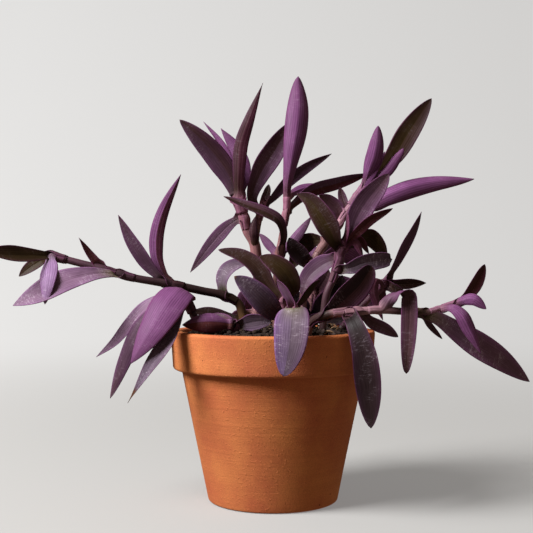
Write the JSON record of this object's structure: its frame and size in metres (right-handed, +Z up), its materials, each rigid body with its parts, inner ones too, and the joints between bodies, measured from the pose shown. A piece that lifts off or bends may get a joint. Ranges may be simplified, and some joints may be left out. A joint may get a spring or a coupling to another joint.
{
  "type": "potted tradescantia",
  "caption": "Purple-leaved tradescantia house plant with upright and trailing leafy stems, growing in soil in a plain terracotta pot with a rolled rim band",
  "frame": {"origin": "on the surface that the pot stands on, at the pot's axis, which is also the middle of the whole plant's box", "axes": "+Z up along the pot's axis, +X to the viewer's right along the two trailing stems, -Y towards the viewer of the picture"},
  "size_m": [0.3892, 0.1828, 0.317],
  "materials": {
    "terracotta": "unglazed fired clay, matt, with fine speckle and faint turning lines",
    "potting_soil": "dark crumbly potting mix",
    "purple_leaf": "waxy leaf, dark brown-purple above and brighter violet beneath, with fine parallel veins"
  },
  "bodies": {
    "root": {"pot": "terracotta", "soil": "potting_soil", "stem_long_left": "purple_leaf", "stem_short_left": "purple_leaf", "stem_rim_left": "purple_leaf", "stem_tall_left": "purple_leaf", "stem_low_middle": "purple_leaf", "stem_front": "purple_leaf", "stem_tall_middle": "purple_leaf", "stem_tall_right": "purple_leaf", "stem_inner_right": "purple_leaf", "stem_back_right": "purple_leaf", "stem_long_right": "purple_leaf", "stem_back_left": "purple_leaf", "stem_back_middle": "purple_leaf"}
  },
  "joints": []
}
